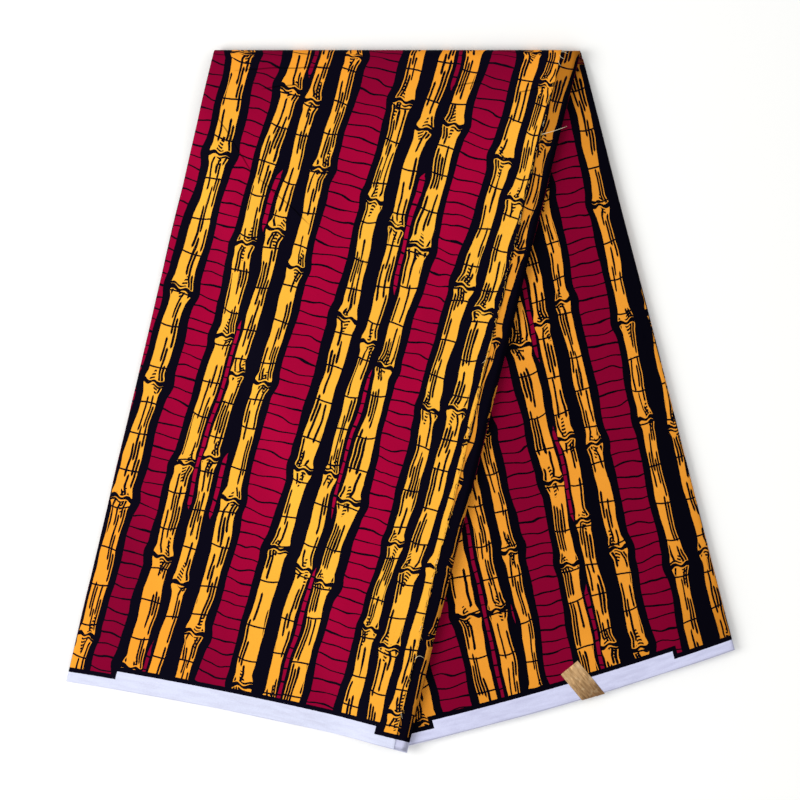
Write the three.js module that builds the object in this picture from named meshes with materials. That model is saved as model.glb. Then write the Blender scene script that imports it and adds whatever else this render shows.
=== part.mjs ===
// A length of wax-print cotton, folded zigzag into a strip of plies and then once across, lying flat.
// The strip is folded on a slant, so its two legs spread into a V, the front leg on top.
// Millimetres, +Z up. The origin is on the table, under the middle of the outline.
import * as THREE from 'three';

// The fold across the strip: its width along the fold, and how far its crest is from the outline's middle.
const foldWidth = 315;
const foldMiddleX = -2.1;
const foldCrestY = 303;

// Each leg's two side edges, from the fold's crest to the hem: length, and lean from straight down in
// degrees, + towards +X. hemBow is how far the hem's middle stands off the line between its ends.
const legs = {
  front: { leftLength: 559.4, leftLean: -13.23, rightLength: 623, rightLean: -13.95, hemBow: 3.5 },
  back: { leftLength: 621.8, leftLean: 15.28, rightLength: 533.7, rightLean: 14.36, hemBow: -4.3 },
};

// Thicknesses: the hidden plies of one leg, a ply that shows, and the gap between two pieces.
const layersThickness = 6.6;
const plyThickness = 1.2;
const gap = 0.3;

// The front leg lies on the back leg and falls to the table beyond the back leg's left edge.
const frontLift = layersThickness + plyThickness + 2 * gap;
const fallStart = 18;
const fallLength = 40;

// The fold's inside, and the room beneath the back leg's fold end where the top ply tucks under.
const foldInnerRadius = gap + plyThickness / 2;
const tuckHeight = 1.7;
const tuckLength = 12;
const tuckRamp = 10;
const tuckMargin = 2;
const foldOuterRadius = (frontLift + layersThickness - tuckHeight) / 2;
const foldInnerZ = frontLift - foldInnerRadius;
const foldOuterZ = tuckHeight + foldOuterRadius;
const foldCentreY = foldCrestY - foldOuterRadius - gap - plyThickness;

// The top ply's raw edge runs this far inside the folded edge beneath it, at the fold and at the hem.
const rawInset = { atFold: 16, atHem: 11.8 };

// How many steps each stretch has along the strip, and how many columns run across it.
const steps = { front: 22, fold: 8, tuck: 2, back: 13, across: 16 };

// The leaves of the hidden plies, from the inside of the fold outwards. side and hem say how far each
// leaf's edge stands out from the outline, sway how much that varies along it.
const leaves = [
  { side: 0.2, hem: 0.5, sway: 0.4 },
  { side: -0.7, hem: -0.6, sway: 0.5 },
  { side: 0.4, hem: 0.3, sway: 0.3 },
  { side: -0.4, hem: 0.8, sway: 0.5 },
  { side: 0.5, hem: -0.4, sway: 0.4 },
  { side: -0.8, hem: 0.2, sway: 0.5 },
  { side: 0.1, hem: -0.7, sway: 0.4 },
  { side: 0.4, hem: 0.6, sway: 0.2 },
];
const leafValley = 1.1;
const leafSwayLength = 170;

// The foil label: its size, where the middle of its top edge lies, and the way its long axis runs.
const label = {
  width: 19, length: 37, thickness: 0.5, bendRadius: 1.6, hemClearance: 2.1,
  topX: 146, topY: -230, angle: -50.5, stepsAcross: 5, stepsAlong: 28,
};

const deg = THREE.MathUtils.degToRad;
const lerp = THREE.MathUtils.lerp;

// A point on one side edge of a leg. down is 0 at the fold's crest and 1 at the hem.
function sidePoint(leg, side, down) {
  const lean = deg(leg[side + 'Lean']);
  const run = leg[side + 'Length'] * down;
  const startX = foldMiddleX + (side === 'left' ? -0.5 : 0.5) * foldWidth;
  return new THREE.Vector2(startX + Math.sin(lean) * run, foldCrestY - Math.cos(lean) * run);
}

// A leg's plan: across is 0 at its left edge and 1 at its right one. The bow of the hem fades upwards.
function legPlan(leg, across, down) {
  const left = sidePoint(leg, 'left', down);
  const point = left.lerp(sidePoint(leg, 'right', down), across);
  point.y += leg.hemBow * 4 * across * (1 - across) * down;
  return point;
}

// How far down the leg, at this column, its plan reaches the line where the fold's bend begins.
function foldShare(leg, across) {
  const hem = legPlan(leg, across, 1);
  return (foldCrestY - foldCentreY) / (foldCrestY - hem.y);
}

// The height of the front leg's underside: on the back leg, or falling to the table past its left edge.
function frontUnderside(point) {
  const top = sidePoint(legs.back, 'left', 0);
  const lean = deg(legs.back.leftLean);
  const inside = (point.x - top.x) * Math.cos(lean) + (point.y - top.y) * Math.sin(lean);
  return frontLift * THREE.MathUtils.smoothstep(inside, -fallStart - fallLength, -fallStart);
}

// The height of the back leg's underside: on the table, and raised where the top ply tucks beneath it.
function backUnderside(point) {
  const fromFold = foldCentreY - point.y;
  return tuckHeight * (1 - THREE.MathUtils.smoothstep(fromFold, tuckLength, tuckLength + tuckRamp));
}

// The hidden plies' inner and outer faces at one station along the strip.
function layerFaces(station, across) {
  if (station.stretch === 'fold') {
    const front = legPlan(legs.front, across, foldShare(legs.front, across));
    const back = legPlan(legs.back, across, foldShare(legs.back, across));
    const x = lerp(front.x, back.x, station.turn);
    const angle = Math.PI * (0.5 - station.turn);
    const facing = new THREE.Vector3(0, Math.cos(angle), Math.sin(angle));
    const inner = new THREE.Vector3(x, foldCentreY, foldInnerZ).addScaledVector(facing, foldInnerRadius);
    const outer = new THREE.Vector3(x, foldCentreY, foldOuterZ).addScaledVector(facing, foldOuterRadius);
    return { inner, outer, facing };
  }
  const leg = legs[station.stretch];
  const point = legPlan(leg, across, lerp(foldShare(leg, across), 1, station.down));
  if (station.stretch === 'front') {
    const under = frontUnderside(point);
    return {
      inner: new THREE.Vector3(point.x, point.y, under),
      outer: new THREE.Vector3(point.x, point.y, under + layersThickness),
      facing: new THREE.Vector3(0, 0, 1),
    };
  }
  return {
    inner: new THREE.Vector3(point.x, point.y, layersThickness),
    outer: new THREE.Vector3(point.x, point.y, backUnderside(point)),
    facing: new THREE.Vector3(0, 0, -1),
  };
}

// Stations along a leg, evenly between two shares of its length. down is 0 where the fold's bend
// begins and 1 at the hem.
function legStations(stretch, count, from, until) {
  return Array.from({ length: count }, (_, i) => ({ stretch, down: lerp(from, until, (i + 1) / count) }));
}

const backLength = (legs.back.leftLength + legs.back.rightLength) / 2;
const tuckShare = tuckLength / backLength;
const rampShare = (tuckLength + tuckRamp) / backLength;
const frontStations = legStations('front', steps.front, 0, 1).reverse();
const foldStations = Array.from({ length: steps.fold + 1 }, (_, i) => ({ stretch: 'fold', turn: i / steps.fold }));
const backStations = [
  ...legStations('back', 1, 0, tuckShare),
  ...legStations('back', 1, tuckShare, rampShare),
  ...legStations('back', steps.back, rampShare, 1),
];
const tuckStations = legStations('back', steps.tuck, 0, tuckShare - tuckMargin / backLength);

// Closes a sheet of points into one body. face(i, j, depth) gives a point of the sheet, depth 0 on its
// inner face and 1 on its outer one. rim lists rows round the edge, each with its depth and, as
// out(point, atHem), how far it stands out along the sheet.
function closedSheet(rows, columns, face, rim) {
  const edge = [];
  for (let j = 0; j < columns - 1; j++) edge.push([0, j]);
  for (let i = 0; i < rows - 1; i++) edge.push([i, columns - 1]);
  for (let j = columns - 1; j > 0; j--) edge.push([rows - 1, j]);
  for (let i = rows - 1; i > 0; i--) edge.push([i, 0]);

  const level = (from, to) => to.sub(from).setZ(0).normalize();
  const outward = (i, j, depth) => {
    const way = new THREE.Vector3();
    if (i === 0 || i === rows - 1) way.add(level(face(i ? i - 1 : 1, j, depth), face(i, j, depth)));
    if (j === 0 || j === columns - 1) way.add(level(face(i, j ? j - 1 : 1, depth), face(i, j, depth)));
    return way;
  };

  const points = [];
  const triangles = [];
  const grid = (depth) => {
    const first = points.length;
    for (let i = 0; i < rows; i++) {
      for (let j = 0; j < columns; j++) points.push(face(i, j, depth));
    }
    return (i, j) => first + i * columns + j;
  };
  const inner = grid(0);
  const outer = grid(1);
  for (let i = 0; i < rows - 1; i++) {
    for (let j = 0; j < columns - 1; j++) {
      triangles.push([outer(i, j), outer(i, j + 1), outer(i + 1, j + 1)]);
      triangles.push([outer(i, j), outer(i + 1, j + 1), outer(i + 1, j)]);
      triangles.push([inner(i, j), inner(i + 1, j + 1), inner(i, j + 1)]);
      triangles.push([inner(i, j), inner(i + 1, j), inner(i + 1, j + 1)]);
    }
  }

  const rings = [edge.map(([i, j]) => inner(i, j))];
  for (const row of rim) {
    rings.push(edge.map(([i, j]) => {
      const atHem = i === 0 || i === rows - 1;
      const point = face(i, j, row.depth);
      points.push(point.addScaledVector(outward(i, j, row.depth), row.out(point, atHem)));
      return points.length - 1;
    }));
  }
  rings.push(edge.map(([i, j]) => outer(i, j)));
  for (let k = 0; k < rings.length - 1; k++) {
    edge.forEach((_, a) => {
      const b = (a + 1) % edge.length;
      triangles.push([rings[k][a], rings[k][b], rings[k + 1][b]]);
      triangles.push([rings[k][a], rings[k + 1][b], rings[k + 1][a]]);
    });
  }

  const geometry = new THREE.BufferGeometry();
  geometry.setAttribute('position', new THREE.Float32BufferAttribute(points.flatMap((p) => p.toArray()), 3));
  geometry.setIndex(triangles.flat());
  geometry.computeVertexNormals();
  return geometry;
}

// The rims of the hidden plies: two rows on each rounded leaf, and one in the valley after it.
function leafRim() {
  const rim = [];
  leaves.forEach((leaf, k) => {
    const sway = (point) => leaf.sway * Math.sin((2 * Math.PI * (point.x + point.y)) / leafSwayLength + 2.4 * k);
    const out = (point, atHem) => (atHem ? leaf.hem : leaf.side) + sway(point);
    rim.push({ depth: (k + 0.25) / leaves.length, out });
    rim.push({ depth: (k + 0.75) / leaves.length, out });
    if (k < leaves.length - 1) {
      rim.push({ depth: (k + 1) / leaves.length, out: () => -leafValley });
    }
  });
  return rim;
}

// A ply's edge is rounded by one row at the middle of its wall.
const plyRim = [{ depth: 0.5, out: () => plyThickness / 3 }];

function foldedLayers() {
  const stations = [...frontStations, ...foldStations, ...backStations];
  return closedSheet(stations.length, steps.across + 1, (i, j, depth) => {
    const faces = layerFaces(stations[i], j / steps.across);
    return faces.inner.lerp(faces.outer, depth);
  }, leafRim());
}

// The layers' outer face where the top ply's column lies. The last column is the raw edge, which runs
// between the layers' last two columns, on the straight line that joins them.
function underTopPly(station, column) {
  const faces = layerFaces(station, column / steps.across);
  if (column === steps.across) {
    const down = station.stretch === 'front' ? station.down : 0;
    const inset = lerp(rawInset.atFold, rawInset.atHem, down) / (foldWidth / steps.across);
    faces.outer.lerp(layerFaces(station, (column - 1) / steps.across).outer, inset);
  }
  return faces;
}

// The top ply lies on the layers' outer face, moved out: over the front leg, round the fold and under it.
function topPly() {
  const stations = [...frontStations, ...foldStations, ...tuckStations];
  return closedSheet(stations.length, steps.across + 1, (i, j, depth) => {
    const faces = underTopPly(stations[i], j);
    return faces.outer.addScaledVector(faces.facing, gap + depth * plyThickness);
  }, plyRim);
}

// The ply that shows on the back leg lies on the layers' inner face, moved up.
function backPly() {
  return closedSheet(backStations.length, steps.across + 1, (i, j, depth) => {
    const faces = layerFaces(backStations[i], j / steps.across);
    return faces.inner.setZ(layersThickness + gap + (1 - depth) * plyThickness);
  }, plyRim);
}

// The label lies on the back ply and bends down over the hem. Its flat shape is split into a part
// along the hem and a part past it, and the part past the hem follows the bend.
function foilLabel() {
  const across = (label.topX - legPlan(legs.back, 0, 1).x)
    / (legPlan(legs.back, 1, 1).x - legPlan(legs.back, 0, 1).x);
  const hemPoint = legPlan(legs.back, across, 1);
  const along = legPlan(legs.back, across + 0.05, 1).sub(hemPoint).normalize();
  const past = new THREE.Vector2(along.y, -along.x);
  const bendAt = label.hemClearance - label.bendRadius;
  const longWay = new THREE.Vector2(Math.cos(deg(label.angle)), Math.sin(deg(label.angle)));
  const wideWay = new THREE.Vector2(longWay.y, -longWay.x);
  const quarter = (Math.PI / 2) * label.bendRadius;

  return closedSheet(label.stepsAlong + 1, label.stepsAcross + 1, (i, j, depth) => {
    const flat = new THREE.Vector2(label.topX, label.topY)
      .addScaledVector(longWay, (label.length * i) / label.stepsAlong)
      .addScaledVector(wideWay, label.width * (j / label.stepsAcross - 0.5))
      .sub(hemPoint);
    const overEdge = flat.dot(past) - bendAt;
    const turned = THREE.MathUtils.clamp(overEdge, 0, quarter);
    const angle = turned / label.bendRadius;
    const radius = label.bendRadius + depth * label.thickness;
    const out = bendAt + Math.min(overEdge, 0) + radius * Math.sin(angle);
    const drop = label.bendRadius - radius * Math.cos(angle) + Math.max(overEdge - quarter, 0);
    const plan = hemPoint.clone().addScaledVector(along, flat.dot(along)).addScaledVector(past, out);
    return new THREE.Vector3(plan.x, plan.y, frontLift - drop);
  }, []);
}

function mesh(name, geometry, color, roughness, metalness) {
  const piece = new THREE.Mesh(geometry, new THREE.MeshStandardMaterial({ color, roughness, metalness }));
  piece.name = name;
  return piece;
}

const cloth = new THREE.Group();
cloth.add(mesh('folded_layers', foldedLayers(), 0xd98a1e, 0.85, 0));
cloth.add(mesh('top_ply', topPly(), 0xa8003a, 0.8, 0));
cloth.add(mesh('back_ply', backPly(), 0x82002d, 0.8, 0));
cloth.add(mesh('foil_label', foilLabel(), 0xc9a468, 0.35, 0.8));

export default cloth;
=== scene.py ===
from functools import partial, reduce
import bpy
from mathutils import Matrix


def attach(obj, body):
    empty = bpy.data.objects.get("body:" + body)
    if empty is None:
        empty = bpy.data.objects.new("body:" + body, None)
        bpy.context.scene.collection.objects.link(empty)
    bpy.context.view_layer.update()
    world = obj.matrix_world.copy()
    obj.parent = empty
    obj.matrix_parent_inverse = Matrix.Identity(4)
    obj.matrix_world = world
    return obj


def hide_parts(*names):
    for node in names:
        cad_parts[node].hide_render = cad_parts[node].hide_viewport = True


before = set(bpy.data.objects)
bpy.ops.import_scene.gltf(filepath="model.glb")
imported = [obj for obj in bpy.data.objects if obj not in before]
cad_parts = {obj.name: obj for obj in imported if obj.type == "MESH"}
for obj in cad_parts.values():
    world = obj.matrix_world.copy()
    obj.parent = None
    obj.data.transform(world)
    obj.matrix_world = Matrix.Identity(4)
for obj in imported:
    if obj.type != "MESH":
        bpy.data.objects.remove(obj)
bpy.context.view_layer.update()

from types import SimpleNamespace
import bpy
import numpy as np

mm = 0.001  # every size below is in millimetres, and meshes are turned to metres when they are built

# Wax-print cotton, six yards long, folded zigzag into a strip of 18 plies and then once across.
# The strip lies flat in a V: the front leg is on top, the back leg shows at the right.


# Colours are sRGB hex values, turned linear here
def hexColour(text):
    srgb = np.array([int(text[k:k + 2], 16) for k in (1, 3, 5)]) / 255
    linear = np.where(srgb <= 0.04045, srgb / 12.92, ((srgb + 0.055) / 1.055) ** 2.4)
    return (*(float(v) for v in linear), 1.0)


# Gives a node its inputs: numbers, colours, other nodes (the first outlet in use) or their outlets
def feed(node, values):
    for slot, value in values.items():
        if isinstance(value, bpy.types.Node):
            value = next(outlet for outlet in value.outputs if outlet.enabled)
        if isinstance(value, bpy.types.NodeSocket):
            node.id_data.links.new(value, node.inputs[slot])
        else:
            node.inputs[slot].default_value = value


# Adds one node with its settings and inputs, which are given in order or as a dictionary by name. A
# kind in capitals is an operation of the Math node.
def addNode(tree, kind, *inputs, **settings):
    node = tree.nodes.new("ShaderNodeMath" if kind.isupper() else "ShaderNode" + kind)
    if kind.isupper():
        node.operation = kind
    for key, value in settings.items():
        setattr(node, key, value)
    feed(node, inputs[0] if inputs and isinstance(inputs[0], dict) else dict(enumerate(inputs)))
    return node


soft = {"interpolation_type": "SMOOTHSTEP"}
asColour = {"data_type": "RGBA"}


def newMaterial(name):
    material = bpy.data.materials.new(name)
    material.use_nodes = True
    tree = material.node_tree
    return material, partial(addNode, tree), tree.nodes["Principled BSDF"]


# The folded cloth's plan, the same sizes as the solids have

fold = {
    "width": 315,  # along the fold across the strip
    "middleX": -2.1,
    "crestY": 303,
}

legs = {
    # side edges from the fold's crest to the hem: length, and lean from straight down in degrees
    "front": {"leftLength": 559.4, "leftLean": -13.23, "rightLength": 623, "rightLean": -13.95,
              "hemBow": 3.5},
    "back": {"leftLength": 621.8, "leftLean": 15.28, "rightLength": 533.7, "rightLean": 14.36,
             "hemBow": -4.3},
}
backLength = (legs["back"]["leftLength"] + legs["back"]["rightLength"]) / 2

stack = {
    "legHeight": 8.1,  # one leg, hidden plies and the ply that shows
    "plyThickness": 0.5,  # a pressed ply, a little thick so that its raw edge shows
    "gap": 0.12,  # air between two pieces
    "seat": 0.3,  # between the two legs
    "fallStart": 18,  # the front leg falls to the table beyond the back leg's left edge
    "fallLength": 40,
    "tuckHeight": 1.0,  # room beneath the fold for the tucked ply
    "tuckLength": 12,
    "tuckRamp": 10,
}
foldPress = {"share": 0.15, "reach": 62}
layersHeight = stack["legHeight"] - stack["plyThickness"] - stack["gap"]
frontLift = stack["legHeight"] + stack["seat"]
stackTop = frontLift + layersHeight
foldInnerRadius = (frontLift - layersHeight) / 2
foldOuterRadius = (stackTop - stack["tuckHeight"]) / 2
foldCentreY = fold["crestY"] - foldOuterRadius - stack["gap"] - stack["plyThickness"]


# Grids and numbers, spread to one shape and put side by side on a last axis
def together(*parts):
    return np.stack(np.broadcast_arrays(*parts), -1)


# 0 before the first value, 1 after the second, and 3t^2 - 2t^3 between them
def smoothStep(value, low, high):
    share = np.clip((value - low) / (high - low), 0, 1)
    return share * share * (3 - 2 * share)


# Smooth unevenness between about -1 and 1: a sum of seven sine waves in seeded directions and lengths
def unevenness(x, y, wave, seed):
    rng = np.random.default_rng(seed)
    total = 0
    for _ in range(7):
        angle, phase = rng.uniform(0, 2 * np.pi, 2)
        length = wave * rng.uniform(0.6, 1.6)
        total = total + np.sin(2 * np.pi * (x * np.cos(angle) + y * np.sin(angle)) / length + phase)
    return total / 3.2


# A point on a leg's side edge: the fold's end plus the edge's length times down, along its lean
def sidePoint(leg, side, down):
    lean = np.radians(leg[side + "Lean"])
    startX = fold["middleX"] + (-0.5 if side == "left" else 0.5) * fold["width"]
    run = leg[side + "Length"] * down
    return startX + np.sin(lean) * run, fold["crestY"] - np.cos(lean) * run


# A leg's plan: straight across between its side points, plus a bow of 4a(1 - a) that fades upwards
def legPlan(leg, across, down):
    leftX, leftY = sidePoint(leg, "left", down)
    rightX, rightY = sidePoint(leg, "right", down)
    bow = leg["hemBow"] * 4 * across * (1 - across) * down
    return leftX + (rightX - leftX) * across, leftY + (rightY - leftY) * across + bow


# How far down a column of the leg the fold's bend begins
def foldShare(leg, across):
    hemY = legPlan(leg, across, 1)[1]
    return (fold["crestY"] - foldCentreY) / (fold["crestY"] - hemY)


# The share of a leg's length, from the crest, that goes with a share from the start of the fold's bend
def foldShareRow(down):
    share = float(np.mean(foldShare(legs["front"], np.linspace(0, 1, 5))))
    return share + (1 - share) * down


# How far a point is to the right of the back leg's left edge, square to that edge
def insideBackEdge(x, y):
    topX, topY = sidePoint(legs["back"], "left", 0)
    lean = np.radians(legs["back"]["leftLean"])
    return (x - topX) * np.cos(lean) + (y - topY) * np.sin(lean)


# The pile is pressed flatter towards the fold: heights shrink by this share
def pressed(points):
    start = fold["crestY"] - foldPress["reach"]
    share = foldPress["share"] * smoothStep(points[..., 1], start, fold["crestY"])
    return np.concatenate([points[..., :2], points[..., 2:] * (1 - share)[..., None]], -1)


# Pressed creases that the cloth keeps from its folding. A row is the x and y of one end and of the
# other, the depth (+ is a ridge) and the half width.
frontCreases = [
    (-148, 214, -107, 174, 0.55, 1.6),
    (-107, 174, -66, 143, 0.40, 2.0),
    (-158, 276, -70, 279, -0.35, 2.2),
    (-60, 283, 62, 281, 0.30, 1.8),
    (40, 270, 118, 266, -0.30, 2.6),
    (-226, 28, -180, 52, 0.30, 2.6),
    (20, 60, 66, -6, 0.28, 3.0),
    (-210, -120, -122, -96, -0.28, 3.4),
    (-60, -196, 8, -214, 0.30, 3.0),
]
backCreases = [
    (150, 262, 178, 176, 0.35, 2.4),
    (106, 40, 172, 22, 0.32, 2.8),
    (120, -110, 236, -84, -0.34, 3.2),
    (60, -190, 128, -178, 0.30, 2.6),
    (206, -150, 252, -196, 0.32, 2.6),
]

# Fine creases of the front leg, too sharp for the mesh, which the print's material draws as painted shade and
# a bump: both ends
fineCreases = [
    (-160, 250, -125, 193),
    (-127, 196, -76, 149),
    (-146, 284, -58, 289),
    (-120, 267, -84, 273),
    (44, 271, 70, 276),
    (99, 264, 127, 270),
]


# Height of the creases: each is a Gaussian bump or trough across its line, fading towards its ends
def creaseHeight(x, y, creases):
    height = np.zeros(np.broadcast(x, y).shape)
    for k, (x1, y1, x2, y2, depth, width) in enumerate(creases):
        dx, dy = x2 - x1, y2 - y1
        length = np.hypot(dx, dy)
        along = ((x - x1) * dx + (y - y1) * dy) / length**2
        bend = 1.6 * np.sin(along * 5.0 + k)
        off = ((x - x1) * dy - (y - y1) * dx) / length - bend
        ends = smoothStep(along, -0.12, 0.25) * (1 - smoothStep(along, 0.75, 1.12))
        height += depth * np.exp(-(off / width) ** 2) * ends
    return height


# The relief of a leg's upper face: long soft waves and the creases
def frontRelief(x, y):
    waves = 0.32 * unevenness(x, y, 130, 11) + 0.16 * unevenness(x, y, 46, 12)
    return waves + creaseHeight(x, y, frontCreases)


def backRelief(x, y):
    waves = 0.28 * unevenness(x, y, 120, 21) + 0.15 * unevenness(x, y, 44, 22)
    return np.clip(waves + creaseHeight(x, y, backCreases), -0.7, 0.7)


# The hidden plies' inner and outer faces, row by row from the front hem, round the fold, to the back
# hem. Each leg is its plan at two heights, and the fold is two half circles, turned by pi times turn.
def stripFaces(across, frontDown, turns, backDown):
    across = across[None, :]
    front, back = legs["front"], legs["back"]
    frontShare, backShare = foldShare(front, across), foldShare(back, across)
    x, y = legPlan(front, across, frontShare + (1 - frontShare) * frontDown[:, None])
    lift = frontLift * smoothStep(insideBackEdge(x, y), -stack["fallStart"] - stack["fallLength"],
                                  -stack["fallStart"])
    calm = smoothStep(foldCentreY - y, 0, 14)
    face = lift + layersHeight + calm * frontRelief(x, y)
    rows = [(together(x, y, lift), together(x, y, face), together(0 * x, 0, 1), frontDown[:, None] + 0 * x)]

    startX, endX = legPlan(front, across, frontShare)[0], legPlan(back, across, backShare)[0]
    turn = turns[:, None]
    angle = np.pi * (0.5 - turn)
    x = startX + (endX - startX) * turn
    facing = together(0 * x, np.cos(angle), np.sin(angle))
    innerCentre = together(x, foldCentreY, frontLift - foldInnerRadius)
    outerCentre = together(x, foldCentreY, stack["tuckHeight"] + foldOuterRadius)
    rows.append((innerCentre + facing * foldInnerRadius, outerCentre + facing * foldOuterRadius,
                 facing, 0 * x))

    x, y = legPlan(back, across, backShare + (1 - backShare) * backDown[:, None])
    under = stack["tuckHeight"] * (1 - smoothStep(foldCentreY - y, stack["tuckLength"],
                                                  stack["tuckLength"] + stack["tuckRamp"]))
    rows.append((together(x, y, layersHeight), together(x, y, under), together(0 * x, 0, -1),
                 backDown[:, None] + 0 * x))
    inner, outer, facing, down = [np.concatenate(parts) for parts in zip(*rows)]
    return pressed(inner), pressed(outer), facing, down


# How each stretch of cloth carries the print: the way the stripes run, from straight down, in degrees
printRuns = {
    "front": {"lean": -15.5, "seed": 31},
    "back": {"lean": 12.0, "seed": 32},
    "hidden": {"lean": -15.0, "seed": 33},
}

# The stripes' sways: size, how much quicker it changes across them, wave length, and its own seed
stripeSways = [(2.4, 2.2, 200, 0), (1.3, 1.5, 58, 50)]


# Print coordinates: u runs square to the stripes and v along them, both with a smooth sway
def printMap(x, y, run, roll=0):
    lean = np.radians(run["lean"])
    u = x * np.cos(lean) + y * np.sin(lean)
    v = x * np.sin(lean) - y * np.cos(lean) - roll
    sway = sum(size * unevenness(u * quicker, v, wave, run["seed"] + seed)
               for size, quicker, wave, seed in stripeSways)
    return together(u + sway, v)


# Hem coordinates: how far along the hem from its left end, and how far above it
def hemMap(leg, across, down):
    leftX, leftY = legPlan(leg, 0, 1)
    rightX, rightY = legPlan(leg, 1, 1)
    hemLength = np.hypot(rightX - leftX, rightY - leftY)
    run = leg["leftLength"] + (leg["rightLength"] - leg["leftLength"]) * across
    return together(across * hemLength, (1 - down) * run)


# The rows and columns of a grid's edge, once round
def edgeOf(rows, columns):
    ways = np.repeat([(0, 1), (1, 0), (0, -1), (-1, 0)], [columns - 1, rows - 1] * 2, axis=0)
    i, j = (np.cumsum(ways, axis=0) - ways).T
    return i, j


# The level direction out of a grid at each point of its edge: along the last row or column step
def edgeOutward(grid, i, j):
    rows, columns = grid.shape[:2]

    def step(here, before, wanted):
        way = (grid[here] - grid[before]) * np.array([1, 1, 0])
        length = np.linalg.norm(way, axis=-1, keepdims=True)
        return np.where(wanted[:, None], way / np.maximum(length, 1e-9), 0)

    backI = np.where(i == 0, 1, i - 1)
    backJ = np.where(j == 0, 1, j - 1)
    return (step((i, j), (backI, j), (i == 0) | (i == rows - 1))
            + step((i, j), (i, backJ), (j == 0) | (j == columns - 1)))


def addObject(name, data):
    item = bpy.data.objects.new(name, data)
    bpy.context.scene.collection.objects.link(item)
    return item


# A mesh object from points in millimetres and four-cornered faces, with UV maps given point by point
def meshObject(name, points, faces, maps, material):
    mesh = bpy.data.meshes.new(name)
    mesh.vertices.add(len(points))
    mesh.vertices.foreach_set("co", (points * mm).astype(np.float32).ravel())
    mesh.loops.add(faces.size)
    mesh.loops.foreach_set("vertex_index", faces.astype(np.int32).ravel())
    mesh.polygons.add(len(faces))
    mesh.polygons.foreach_set("loop_start", np.arange(0, faces.size, faces.shape[1], dtype=np.int32))
    mesh.update(calc_edges=True)
    for mapName, values in maps.items():
        layer = mesh.uv_layers.new(name=mapName, do_init=False)
        layer.uv.foreach_set("vector", values[faces.ravel()].astype(np.float32).ravel())
    mesh.polygons.foreach_set("use_smooth", np.ones(len(faces), dtype=bool))
    mesh.validate()
    mesh.materials.append(material)
    return addObject(name, mesh)


# A sheet shut all round: its inner and outer grids, joined round the edge by rim rows. A rim row lies at a
# depth between the grids and stands out along the sheet, and shifts the maps of its points. One more map
# is painted shadow: 0 where light gets in and 1 in a seam between two plies.
def closedSheet(name, inner, outer, maps, rim, material):
    rows, columns = inner.shape[:2]
    i, j = edgeOf(rows, columns)
    grid = np.arange(rows * columns).reshape(rows, columns)
    corners = np.stack([grid[:-1, :-1], grid[:-1, 1:], grid[1:, 1:], grid[1:, :-1]], -1).reshape(-1, 4)
    count = rows * columns
    points = [inner.reshape(-1, 3), outer.reshape(-1, 3)]
    maps = {**maps, "seamShade": np.zeros((rows, columns, 2))}
    values = {key: [value.reshape(-1, 2)] * 2 for key, value in maps.items()}
    faces = [corners[:, ::-1], corners + count]
    rings = [grid[i, j]]
    for k, row in enumerate(rim):
        middle = inner + (outer - inner) * row["depth"]
        out = edgeOutward(middle, i, j) * np.reshape(row["out"], (-1, 1))
        points.append(middle[i, j] + out)
        for key, value in maps.items():
            values[key] = values[key] + [value[i, j] + row.get(key, 0)]
        rings.append(2 * count + k * len(i) + np.arange(len(i)))
    rings.append(grid[i, j] + count)
    for low, high in zip(rings[:-1], rings[1:]):
        faces.append(np.stack([low, np.roll(low, -1), np.roll(high, -1), high], -1))
    merged = {key: np.concatenate(value) for key, value in values.items()}
    return meshObject(name, np.concatenate(points), np.concatenate(faces), merged, material)


# Wax-resist printed, calendered plain-weave cotton: flat dye areas with slightly uneven borders, a
# fine weave that only softens the light, and hardly any shine

waxPrint = {
    "edgeGrain": 0.25,  # unevenness of the printed borders
    "narrowGap": 20,  # between canes: navy, with a crimson sliver here and there
    "borderSway": 1.1,
    "bandLineSpacing": 10.4, "bandLineHalf": 0.66, "bandLineSway": 9,
    "threadSpacing": 0.9,  # 0.35 mm in the cloth, drawn coarser so that it can show
    "laneMargin": 40,  # how far the lanes go on beyond the outermost canes
}

# At a joint the cane swells on both sides and is nipped in, and a thick line curls across it
jointSizes = {
    "spacing": 104, "jitter": 0.42, "lumps": 3.2,
    "swell": (2.2, 11, 1.7), "nip": (0.5, 2.4, 2.4),  # from, to, and how much at the joint
    "curl": 1.05, "curlTurn": 0.62, "thin": 1.05, "thick": 2.2,
    "lipFar": 3.3, "lipHalf": 0.95,
}

# Rings cross the cane, a comb is a row of short dashes beside a joint, and strokes run along the cane.
# A comb and the strokes keep clear of the joint itself.
ringSizes = {"spacing": 33, "jitter": 0.3, "half": 0.74}
combSizes = {"spacing": 3, "dashHalf": 0.86, "reach": (7, 19), "wide": (1.7, 3), "clear": 2.4}
strokeSizes = {"column": 2.3, "cell": 42, "half": 0.9, "clear": 2.6}

# Where the canes stand, square to the stripes in a leg's plan: middle, half width, and how much of a
# narrow gap beyond is open to a crimson sliver. A wide gap has a crimson band in it.
caneTables = {
    "front": [(-208, 7.1, 0), (-162.9, 7, 0.5), (-141.9, 5.1, 0.4), (-118.2, 6.1, 0),
              (-65.2, 6.4, 0.1), (-41.6, 5.2, 0.65), (-20.5, 6.6, 0),
              (29.2, 5.9, 0.15), (49.4, 6.2, 0), (68, 5.9, 0)],
    "back": [(-33, 6.5, 0), (19.5, 7, 0.7), (44, 6.8, 0.3), (65, 5.6, 0),
             (114.6, 6.6, 0.85), (134, 5, 0), (155.2, 5.5, 0), (205.7, 5.7, 0.05), (231.4, 5, 0)],
    "hidden": [(-98, 7, 0), (-74, 6.5, 0), (10, 7, 0), (63.4, 4.6, 0), (84.8, 6.5, 0),
               (140, 7, 0), (205.7, 5.7, 0), (231.4, 5, 0)],
}
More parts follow.
